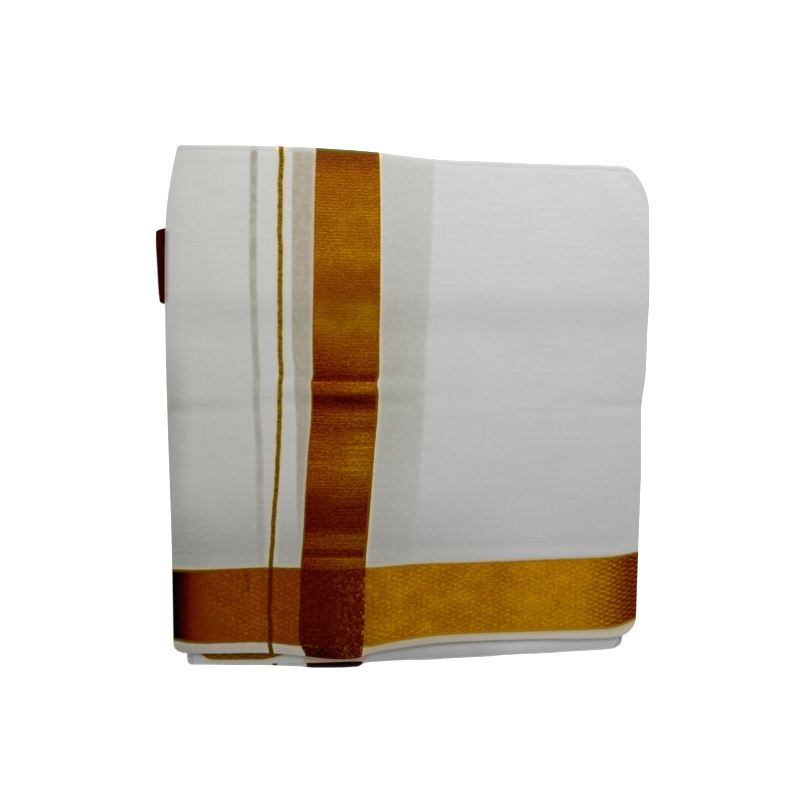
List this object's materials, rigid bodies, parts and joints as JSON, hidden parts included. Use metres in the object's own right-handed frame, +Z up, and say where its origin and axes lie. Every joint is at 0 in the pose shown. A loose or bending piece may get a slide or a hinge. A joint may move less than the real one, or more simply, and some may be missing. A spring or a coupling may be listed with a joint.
{
  "type": "folded dhoti cloth",
  "caption": "Long white cotton dhoti folded into a flat packet, with a woven gold border along the front edge, gold cross bands and a soft rolled front.",
  "frame": {"origin": "centre of the packet's footprint, on the surface it lies on", "axes": "+X to the right of the packet, +Y away from the bordered front edge, +Z up out of the top leaf"},
  "size_m": [0.324, 0.3398, 0.015],
  "materials": {
    "white_cotton": "matt plain weave",
    "gold_border": "maroon weave with gold thread"
  },
  "bodies": {
    "root": {"top_leaf": "white_cotton", "second_leaf": "white_cotton", "under_leaf": "white_cotton", "hidden_layers": "white_cotton", "inner_flap": "gold_border"}
  },
  "joints": []
}
